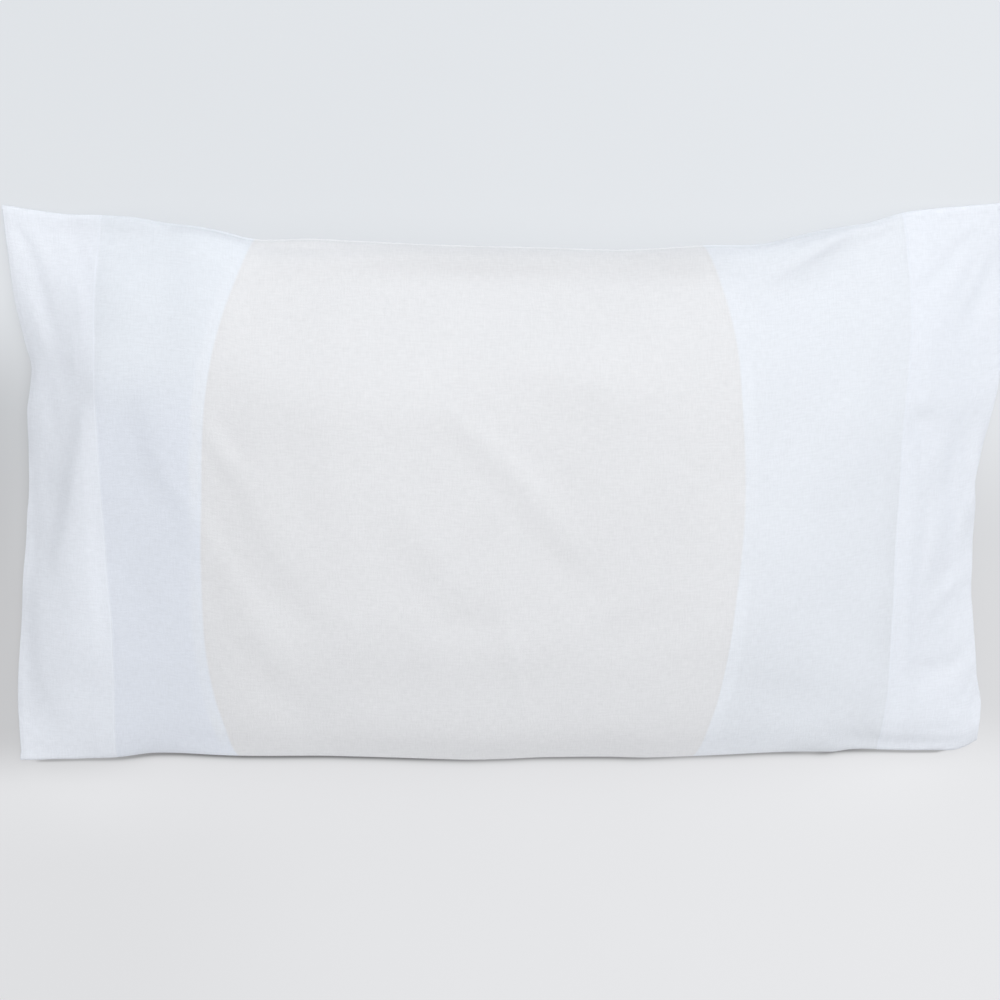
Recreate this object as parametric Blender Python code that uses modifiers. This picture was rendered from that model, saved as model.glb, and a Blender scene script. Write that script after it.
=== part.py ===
"""A hemmed cotton pillowcase, open at both ends, lying on its back over a short stuffed pillow.

Metres, +Z up.  X runs along the case, Y runs across it, the seamed edge is on the +Y side.
The case is one tube of cloth: it is folded along its -Y edge and seamed along its +Y edge.
Its two ends are deep hems that come together and stay a finger's width open.
The stuffed pillow inside is shorter than the case, and its ends bow outward like a barrel's.
"""
import bpy
import bmesh
import numpy as np
from mathutils import Matrix

MM = 0.001

# ---- driving sizes, in metres -------------------------------------------------------------
CASE_LENGTH = 0.900        # finished length of the case, mouth to mouth, laid flat
CASE_WIDTH = 0.500         # finished width laid flat, folded edge to seamed edge
HEM_DEPTH = 0.090          # depth of the hem at each mouth
CLOTH = 0.0015             # thickness of the cloth sheet
EDGE_RADIUS = 0.0024       # outer radius of the cloth where it turns over at its long edges
PILLOW_GAP = 0.0018        # clearance between the pillow and the inside of the cloth
FLOOR_GAP = 0.0012         # clearance between the pillow and the cloth it lies on
UNDERSIDE_PRESS = 1.09     # how far the underside is pressed flat by what it lies on

# ---- mesh density -------------------------------------------------------------------------
COLUMNS = 38               # faces along the case
ACROSS = 18                # faces across each layer, between its two rounded edges
EDGE_STEPS = 2             # faces in each quarter of a rounded long edge
PILLOW_RINGS = 22          # rings along the pillow
PILLOW_SIDES = 30          # sides around the pillow

# ---- the lie of the case, a row for each cross-section, in millimetres ---------------------
# along: distance along the cloth from its middle;  low_y, high_y: its folded and seamed edges;
# edge_z: height of those edges;  crown_z: height of the upper layer midway between them
SECTIONS = (
    # along, low_y, high_y, edge_z, crown_z
    (-450.0, -252.0, 250.0, 3.6, 17.0),
    (-425.0, -251.0, 246.0, 5.0, 28.0),
    (-395.0, -250.0, 242.0, 9.0, 45.0),
    (-360.0, -248.0, 241.0, 17.0, 62.0),
    (-325.0, -243.5, 239.0, 26.0, 75.0),
    (-300.0, -241.5, 234.0, 32.0, 84.0),
    (-268.0, -241.0, 227.0, 39.0, 95.0),
    (-225.0, -240.5, 219.0, 45.0, 106.0),
    (-130.0, -242.5, 216.0, 48.0, 115.0),
    (0.0, -245.5, 214.0, 48.0, 118.0),
    (100.0, -245.5, 212.5, 48.0, 117.0),
    (172.0, -244.0, 213.5, 46.0, 112.0),
    (232.0, -243.5, 219.0, 41.0, 100.0),
    (290.0, -245.0, 229.0, 31.0, 82.0),
    (326.0, -246.0, 236.0, 24.0, 70.0),
    (360.0, -247.5, 243.5, 16.0, 57.0),
    (400.0, -248.5, 248.0, 8.5, 39.0),
    (425.0, -247.5, 250.0, 5.0, 26.0),
    (450.0, -245.0, 252.0, 3.6, 17.0),
)
ALONG, LOW_Y, HIGH_Y, EDGE_Z, CROWN_Z = range(5)

# ---- the main folds of the upper layer, in millimetres -------------------------------------
# x, y: middle of the fold;  turn: its direction in degrees from +X;  half_length, half_width;
# rise: height of a ridge, or depth of a trough when below zero
FOLDS = (
    # x, y, turn, half_length, half_width, rise
    (-415.0, 190.0, -68.0, 75.0, 15.0, 5.0),
    (-392.0, 180.0, -66.0, 70.0, 13.0, -3.5),
    (-352.0, 110.0, -88.0, 70.0, 12.0, -4.0),
    (-392.0, 0.0, -62.0, 70.0, 16.0, 3.0),
    (-285.0, 20.0, -48.0, 80.0, 14.0, -2.2),
    (-185.0, -15.0, -50.0, 95.0, 13.0, -2.0),
    (25.0, 10.0, -47.0, 80.0, 13.0, -2.6),
    (50.0, 25.0, -47.0, 70.0, 13.0, 1.6),
    (285.0, 215.0, 32.0, 55.0, 10.0, -3.0),
    (410.0, 215.0, 46.0, 35.0, 9.0, -2.5),
    (395.0, 70.0, -20.0, 35.0, 16.0, -3.5),
    (400.0, -90.0, 44.0, 30.0, 10.0, -2.5),
)

# ---- how far each mouth's edge strays outward from an even draw-in, in millimetres ----------
MOUTH_EDGES = (
    # y, left_out, right_out
    (-245.0, 0.0, -4.0),
    (-222.0, 4.0, -1.0),
    (-180.0, 8.5, 4.0),
    (-120.0, 6.0, 3.5),
    (-60.0, 2.5, 1.5),
    (10.0, -3.0, -0.5),
    (40.0, -5.5, 3.5),
    (66.0, -7.5, 11.0),
    (90.0, -8.0, 16.5),
    (125.0, -5.5, 17.5),
    (165.0, -2.5, 14.0),
    (210.0, -1.0, 9.0),
    (250.0, 0.0, 5.0),
)

# ---- the pillow's two bowed ends, in millimetres -------------------------------------------
# end_x: furthest reach;  mid_y: where along the end that is;  bow: how far the end falls back at reach_y from it
PILLOW_ENDS = {
    "left": dict(end_x=-268.0, mid_y=-40.0, bow=33.0, reach_y=240.0, power=2.6),
    "right": dict(end_x=208.0, mid_y=-5.0, bow=27.0, reach_y=228.0, power=2.4),
}
END_SQUARENESS = 0.34      # of the ends seen from the side: 1 is an ellipsoid, towards 0 is a box
CORNER_SQUARENESS = 0.10   # of the corners seen from above


def column(name, along):
    """One column of SECTIONS, in metres, read between its rows on a smooth curve."""
    rows = np.array(SECTIONS) * MM
    knots, values = rows[:, ALONG], rows[:, name]
    step = np.diff(knots)
    slope = np.diff(values) / step
    # each row's slope is the mean of its neighbours', and flat at a peak, so that nothing overshoots
    tangent = np.empty_like(values)
    tangent[0], tangent[-1] = slope[0], slope[-1]
    inner = (slope[:-1] * step[1:] + slope[1:] * step[:-1]) / (step[1:] + step[:-1])
    tangent[1:-1] = np.where(slope[:-1] * slope[1:] > 0.0, inner, 0.0)
    place = np.clip(along, knots[0], knots[-1])
    row = np.clip(np.searchsorted(knots, place, side="right") - 1, 0, len(step) - 1)
    h = step[row]
    t = (place - knots[row]) / h
    return (
        (2 * t**3 - 3 * t**2 + 1) * values[row]
        + (t**3 - 2 * t**2 + t) * h * tangent[row]
        + (3 * t**2 - 2 * t**3) * values[row + 1]
        + (t**3 - t**2) * h * tangent[row + 1]
    )


def smooth(low, high, value):
    """0 below low, 1 above high, and an even ease between."""
    t = np.clip((value - low) / (high - low), 0.0, 1.0)
    return t * t * (3.0 - 2.0 * t)


def fullness(along):
    """1 where the pillow holds the case open, 0 at the flattened mouths."""
    return 1.0 - smooth(0.26, 0.45, np.abs(along))


def layer_height(along, across, upper):
    """Height of the outside of a layer.  across runs from -1 at the folded edge to 1 at the seamed edge."""
    edge_z, crown_z, full = column(EDGE_Z, along), column(CROWN_Z, along), fullness(along)
    c = np.clip(np.abs(across), 0.0, 1.0)
    half_width = (column(HIGH_Y, along) - column(LOW_Y, along)) / 2.0
    turn = np.sqrt(np.clip(1.0 - (np.maximum(0.0, c - 1.0 + EDGE_RADIUS / half_width) * half_width / EDGE_RADIUS) ** 2, 0.0, 1.0))
    if upper:
        crown = np.clip(1.0 - c ** (2.0 + 0.35 * full), 0.0, 1.0) ** (1.0 / (1.0 + 0.85 * full))
        return edge_z + EDGE_RADIUS * turn + (crown_z - edge_z - EDGE_RADIUS) * crown
    belly = np.clip(1.0 - c ** (2.0 + 1.5 * full), 0.0, 1.0) ** (1.0 / (1.0 + full))
    return np.maximum(0.0, edge_z - EDGE_RADIUS * turn - UNDERSIDE_PRESS * (edge_z - EDGE_RADIUS) * belly)


def fold_height(x, y):
    """What the main folds add to the upper layer's height, in metres."""
    total = np.zeros_like(x)
    for fold_x, fold_y, turn, half_length, half_width, rise in FOLDS:
        dx, dy, angle = x / MM - fold_x, y / MM - fold_y, np.radians(turn)
        run = (dx * np.cos(angle) + dy * np.sin(angle)) / half_length
        side = (-dx * np.sin(angle) + dy * np.cos(angle)) / half_width
        total += rise * MM * np.exp(-(run**2) - side**2)
    return total


def section_outline(along, upper, parts):
    """One layer's cross-section at a place along the cloth: (y, z) from its folded edge to its seamed edge,
    at even shares of its length, with short steps round its two edges."""
    theta = np.linspace(0.0, np.pi, 1201)
    across = -np.cos(theta)
    low_y, high_y = column(LOW_Y, along), column(HIGH_Y, along)
    y = (low_y + high_y) / 2.0 + across * (high_y - low_y) / 2.0
    z = layer_height(along, across, upper)
    length = np.concatenate(([0.0], np.cumsum(np.hypot(np.diff(y), np.diff(z)))))
    return np.interp(parts(length[-1]), length, y), np.interp(parts(length[-1]), length, z)


def shares(total):
    """Distances along a layer's cross-section where its points lie."""
    quarter = EDGE_RADIUS * np.pi / 2.0
    edge = np.linspace(0.0, quarter, EDGE_STEPS + 1)
    u = np.linspace(0.0, 1.0, ACROSS + 1)
    eased = u - 0.10 * np.sin(2.0 * np.pi * u)        # a little closer together near the edges
    middle = quarter + (total - 2.0 * quarter) * eased
    return np.concatenate((edge[:-1], middle, total - edge[::-1][1:]))


def lie_of_the_cloth():
    """Places of the tube's points, in metres: rings along the case by points around it."""
    fine = np.linspace(-CASE_LENGTH / 2.0, CASE_LENGTH / 2.0, 4 * COLUMNS + 1)
    upper = np.array([section_outline(s, True, shares) for s in fine])      # ring, (y, z), point
    under = np.array([section_outline(s, False, shares) for s in fine])
    # the cloth does not stretch: a step along it is shared between going along, sideways and up
    travel = np.diff(fine)[:, None] ** 2 - np.diff(upper[:, 0], axis=0) ** 2 - np.diff(upper[:, 1], axis=0) ** 2
    step = np.sqrt(np.maximum(travel, (0.35 * np.diff(fine)[:, None]) ** 2))
    x = np.concatenate((np.zeros((1, step.shape[1])), np.cumsum(step, axis=0)))
    x -= x[len(fine) // 2]
    stray = smooth(0.33, 0.45, np.abs(fine))[:, None]
    for side, sign in ((1, -1.0), (2, 1.0)):
        edge = np.array(MOUTH_EDGES) * MM
        out = np.interp(upper[:, 0], edge[:, 0], edge[:, side])
        x += sign * out * stray * (np.sign(fine)[:, None] == sign)
    upper_z = upper[:, 1] + fold_height(x, upper[:, 0]) * smooth(0.0, 0.25, 1.0 - np.abs(across_of(upper[:, 0])))
    # the under layer keeps to the upper one's outline: its slack lies in the flat underside
    ring = np.concatenate((
        np.stack((x, upper[:, 0], upper_z), axis=-1)[:, ::-1],
        np.stack((x, under[:, 0], under[:, 1]), axis=-1)[:, 1:],
    ), axis=1)
    return ring[::4]


def across_of(y):
    """-1 to 1 between the two long edges, for each ring of y values."""
    low, high = y[:, :1], y[:, -1:]
    return (2.0 * y - low - high) / (high - low)


def centre_of(points):
    """The middle of the outline, seen from above."""
    flat = points.reshape(-1, 3)
    low, high = flat.min(axis=0), flat.max(axis=0)
    return np.array([(low[0] + high[0]) / 2.0, (low[1] + high[1]) / 2.0, 0.0])


def material(name, colour, roughness):
    made = bpy.data.materials.new(name)
    made.use_nodes = True
    shader = made.node_tree.nodes["Principled BSDF"]
    shader.inputs["Base Color"].default_value = (*colour, 1.0)
    shader.inputs["Roughness"].default_value = roughness
    shader.inputs["Metallic"].default_value = 0.0
    return made


def add_object(name, mesh, finish, collection):
    made = bpy.data.objects.new(name, mesh)
    collection.objects.link(made)
    mesh.materials.append(finish)
    mesh.shade_smooth()
    return made


def make_case(points, finish, collection):
    """The case: a flat grid of cloth, rolled into a tube, seamed along its +Y edge, and given its thickness."""
    rings, around = points.shape[:2]
    sheet = bmesh.new()
    bmesh.ops.create_grid(sheet, x_segments=rings - 1, y_segments=around - 1, size=1.0)
    for vert in sheet.verts:
        ring = int(round((vert.co.x + 1.0) / 2.0 * (rings - 1)))
        point = int(round((vert.co.y + 1.0) / 2.0 * (around - 1)))
        vert.co = points[ring, point]
    bmesh.ops.remove_doubles(sheet, verts=sheet.verts, dist=0.00005)
    bmesh.ops.recalc_face_normals(sheet, faces=sheet.faces)
    mesh = bpy.data.meshes.new("case")
    sheet.to_mesh(mesh)
    sheet.free()
    case = add_object("case", mesh, finish, collection)
    thickness = case.modifiers.new("cloth thickness", "SOLIDIFY")
    thickness.thickness = CLOTH
    thickness.offset = -1.0
    thickness.use_even_offset = True
    thickness.use_quality_normals = True
    return case


def end_reach(side, y):
    """How far the pillow reaches towards one end, at a place across it."""
    end = PILLOW_ENDS[side]
    fall = end["bow"] * (np.abs(y / MM - end["mid_y"]) / end["reach_y"]) ** end["power"]
    return (end["end_x"] - np.sign(end["end_x"]) * fall) * MM


def make_pillow(shift, finish, collection):
    """The pillow: a sphere squared off towards a box, and filled out to just inside the case."""
    form = bmesh.new()
    bmesh.ops.create_uvsphere(form, u_segments=PILLOW_SIDES, v_segments=PILLOW_RINGS, radius=1.0)
    inset = CLOTH + PILLOW_GAP
    for vert in form.verts:
        axial, round_y, round_z = float(vert.co.z), float(vert.co.x), float(vert.co.y)
        radius = float(np.hypot(round_y, round_z))
        reach = np.sign(axial) * abs(axial) ** END_SQUARENESS
        size = min(radius, 1.0) ** END_SQUARENESS if radius > 1e-6 else 0.0
        spread = min(radius, 1.0) ** CORNER_SQUARENESS if radius > 1e-6 else 0.0
        # a first guess at the place along the case gives its section there; a second settles it
        x = (end_reach("right", 0.0) - end_reach("left", 0.0)) / 2.0 * reach + (end_reach("right", 0.0) + end_reach("left", 0.0)) / 2.0
        for _ in range(3):
            along = np.array(float(x))
            low_y, high_y = column(LOW_Y, along) + inset, column(HIGH_Y, along) - inset
            across = (round_y / radius if radius > 1e-6 else 0.0)
            across_full = float(np.sign(across) * abs(across) ** 0.9)
            y_edge = (low_y + high_y) / 2.0 + across_full * (high_y - low_y) / 2.0
            y = (low_y + high_y) / 2.0 + spread * (y_edge - (low_y + high_y) / 2.0)
            left, right = end_reach("left", y), end_reach("right", y)
            x = (right + left) / 2.0 + reach * (right - left) / 2.0
        c = np.array(across_full)
        top = float(layer_height(along, c, True)) - inset + min(0.0, float(fold_height(np.array(x), np.array(y))))
        bottom = float(layer_height(along, c, False)) + CLOTH + FLOOR_GAP
        middle = (top + bottom) / 2.0 if abs(c) > 0.999 else (float(column(CROWN_Z, along)) - inset + CLOTH + FLOOR_GAP) / 2.0
        edge = top if round_z >= 0.0 else bottom
        if abs(c) > 0.999:
            edge = middle = float(column(EDGE_Z, along))
        z = middle + size * (edge - middle) if abs(c) <= 0.999 else edge
        vert.co = (x, y, z)
    bmesh.ops.recalc_face_normals(form, faces=form.faces)
    mesh = bpy.data.meshes.new("inner_pillow")
    form.to_mesh(mesh)
    form.free()
    mesh.transform(Matrix.Translation(-shift))
    return add_object("inner_pillow", mesh, finish, collection)


def main():
    for old in list(bpy.data.objects):
        bpy.data.objects.remove(old, do_unlink=True)
    group = bpy.data.collections.new("Pillowcase")
    bpy.context.scene.collection.children.link(group)

    white_cotton = material("white cotton", (0.82, 0.86, 0.91), 0.85)
    natural_ticking = material("natural ticking", (0.80, 0.78, 0.73), 0.85)

    points = lie_of_the_cloth()
    shift = centre_of(points)
    make_case(points - shift, white_cotton, group)
    make_pillow(shift, natural_ticking, group)


main()
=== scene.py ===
"""Looks of a hemmed white cotton pillowcase, open at both ends, that lies on its back over a short stuffed pillow.

Metres, +Z up.  X runs along the case, Y across it, and the seamed edge is on the +Y side.
The cloth is thin enough for the pillow inside to show through as a warmer field with a bright rim.
"""

import bpy
import numpy as np
from mathutils import Matrix, Vector


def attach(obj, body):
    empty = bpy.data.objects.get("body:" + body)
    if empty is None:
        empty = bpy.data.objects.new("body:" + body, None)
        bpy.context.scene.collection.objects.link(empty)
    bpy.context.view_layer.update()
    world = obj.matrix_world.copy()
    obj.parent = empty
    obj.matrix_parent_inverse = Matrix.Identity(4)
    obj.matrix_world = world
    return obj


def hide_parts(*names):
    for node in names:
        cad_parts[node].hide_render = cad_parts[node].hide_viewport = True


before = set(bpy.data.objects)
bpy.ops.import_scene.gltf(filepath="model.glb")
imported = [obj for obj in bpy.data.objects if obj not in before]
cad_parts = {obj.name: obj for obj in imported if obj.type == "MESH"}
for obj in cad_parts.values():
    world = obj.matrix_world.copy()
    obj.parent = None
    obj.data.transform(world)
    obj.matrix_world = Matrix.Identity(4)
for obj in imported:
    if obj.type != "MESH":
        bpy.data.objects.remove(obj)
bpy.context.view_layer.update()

MM = 0.001

# ---- sizes of the case, in metres ------------------------------------------------------------
CASE_LENGTH = 0.900        # mouth to mouth, laid flat
CASE_WIDTH = 0.500         # folded edge to seamed edge, laid flat
HEM_DEPTH = 0.090          # depth of the hem at each mouth
TURN_IN = 0.020            # width of the raw edge turned in under each hem's stitching
EDGE_RADIUS = 0.0024       # outer radius of the cloth where it turns over at its long edges
UNDERSIDE_PRESS = 1.09     # how far the underside is pressed flat by what it lies on
CLOTH = 0.0007             # thickness of the single cloth
HEM_CLOTH = 0.0012         # thickness of the hem, which is several layers
STITCH_PITCH = 0.0029      # length of a hem stitch and its gap
PILLOW_GAP = 0.0034        # clearance between the pillow and the outside of the case, above
PILLOW_LIFT = 0.0024       # and below

# ---- mesh density ----------------------------------------------------------------------------
STEP_ALONG = 0.0041
STEPS_UPPER = 122
STEPS_UNDER = 40
EDGE_STEPS = 5

# ---- the lie of the case, a row for each cross-section, in millimetres ------------------------
SECTIONS = (
    # along, low_y, high_y, edge_z, crown_z
    (-450.0, -255.0, 250.0, 3.6, 17.0),
    (-425.0, -254.1, 246.0, 5.0, 28.0),
    (-395.0, -252.4, 242.0, 9.0, 45.0),
    (-360.0, -249.3, 241.0, 17.0, 62.0),
    (-325.0, -242.9, 238.6, 26.0, 75.0),
    (-300.0, -241.2, 234.4, 32.0, 84.0),
    (-268.0, -240.9, 230.9, 39.0, 95.0),
    (-245.0, -241.0, 226.4, 42.6, 101.3),
    (-225.0, -240.7, 221.3, 45.0, 106.0),
    (-170.0, -240.4, 220.6, 47.2, 111.9),
    (-130.0, -241.4, 218.8, 48.0, 115.0),
    (-60.0, -244.2, 215.6, 48.0, 117.0),
    (-30.0, -245.2, 214.6, 48.0, 117.6),
    (0.0, -244.7, 213.9, 48.0, 118.0),
    (40.0, -243.4, 212.9, 48.0, 117.8),
    (100.0, -243.8, 211.1, 48.0, 117.0),
    (128.0, -244.8, 212.2, 47.6, 115.6),
    (172.0, -244.3, 214.8, 46.0, 112.0),
    (232.0, -243.6, 216.8, 41.0, 100.0),
    (260.0, -244.2, 223.0, 36.3, 91.6),
    (290.0, -246.0, 229.2, 31.0, 82.0),
    (308.0, -247.2, 231.6, 27.6, 76.2),
    (326.0, -246.4, 234.0, 24.0, 70.0),
    (360.0, -248.8, 243.0, 16.0, 57.0),
    (392.0, -251.7, 247.3, 9.8, 43.0),
    (412.0, -252.9, 249.0, 6.8, 33.0),
    (425.0, -253.4, 250.0, 5.0, 26.0),
    (438.0, -250.6, 251.1, 4.2, 20.8),
    (450.0, -244.6, 252.0, 3.6, 17.0),
)
ALONG, LOW_Y, HIGH_Y, EDGE_Z, CROWN_Z = range(5)

# how far each mouth's edge strays outward from an even draw-in, in millimetres
MOUTH_EDGES = (
    # y, left_out, right_out
    (-245.0, 0.0, -1.0),
    (-222.0, 4.5, 3.4),
    (-205.0, 7.2, 6.0),
    (-180.0, 7.9, 2.8),
    (-150.0, 7.1, 1.8),
    (-120.0, 5.9, 0.9),
    (-98.0, 4.3, -0.5),
    (-60.0, 2.5, 0.2),
    (-28.0, 0.8, -0.2),
    (0.0, -3.0, -2.9),
    (24.0, -4.3, 2.8),
    (40.0, -4.9, 7.2),
    (66.0, -4.8, 13.0),
    (90.0, -7.6, 17.0),
    (108.0, -9.2, 17.6),
    (125.0, -5.9, 17.5),
    (142.0, -3.6, 16.2),
    (165.0, 0.0, 14.0),
    (190.0, 1.5, 11.1),
    (210.0, 1.1, 9.0),
    (250.0, 0.3, 5.0),
)

# where each hem's stitched line lies, in millimetres
HEM_LINES = (
    # y, left_x, right_x
    (-240.0, -356.2, 342.6),
    (-222.0, -355.4, 344.0),
    (-204.0, -354.5, 345.4),
    (-175.0, -353.0, 346.3),
    (-145.0, -352.0, 346.3),
    (-115.0, -351.6, 345.8),
    (-85.0, -353.2, 345.8),
    (-60.0, -354.3, 345.7),
    (-32.0, -355.0, 346.2),
    (-5.0, -356.4, 347.5),
    (20.0, -357.4, 347.8),
    (47.0, -358.6, 348.0),
    (73.0, -359.4, 349.3),
    (99.0, -359.4, 351.9),
    (126.0, -360.1, 353.6),
    (152.0, -360.4, 354.9),
    (178.0, -360.1, 355.4),
    (204.0, -358.9, 354.6),
    (229.0, -357.2, 353.0),
    (245.0, -356.4, 352.0),
)

# the pillow's two bowed ends, in millimetres
PILLOW_ENDS = {
    "left": dict(end_x=-268.0, mid_y=-40.0, bow=33.0, reach_y=240.0, power=2.6),
    "right": dict(end_x=208.0, mid_y=-5.0, bow=27.0, reach_y=228.0, power=2.4),
}
END_SQUARENESS = 0.34
CORNER_SQUARENESS = 0.10

# where the pillow shows through the cloth: the two rims of the warm field, in millimetres
# left_rim, right_rim: how bright the pillow's seam shows beside the field
FIELD_RIMS = (
    # y, left_x, right_x, left_rim, right_rim
    (-262.0, -236.0, 161.0, 0.10, 0.10),
    (-245.0, -240.0, 166.0, 0.15, 0.15),
    (-229.0, -246.0, 172.0, 0.20, 0.20),
    (-204.0, -252.8, 179.0, 1.10, 0.70),
    (-183.0, -258.5, 184.5, 0.50, 1.10),
    (-160.0, -262.8, 188.8, 0.35, 1.60),
    (-134.0, -266.0, 192.5, 0.65, 1.50),
    (-88.0, -267.5, 197.0, 0.65, 1.10),
    (-46.0, -267.0, 200.5, 0.10, 0.15),
    (0.0, -265.3, 202.5, 0.60, 0.25),
    (32.0, -264.5, 201.9, 1.30, 0.45),
    (54.0, -263.3, 201.0, 0.80, 0.90),
    (86.0, -261.0, 199.0, 1.60, 1.20),
    (128.0, -254.0, 195.5, 0.85, 0.35),
    (162.0, -244.5, 189.0, 0.50, 0.25),
    (196.0, -231.5, 179.0, 0.20, 0.10),
    (219.0, -222.0, 170.0, 0.10, 0.05),
    (245.0, -210.0, 161.0, 0.05, 0.05),
)

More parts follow.
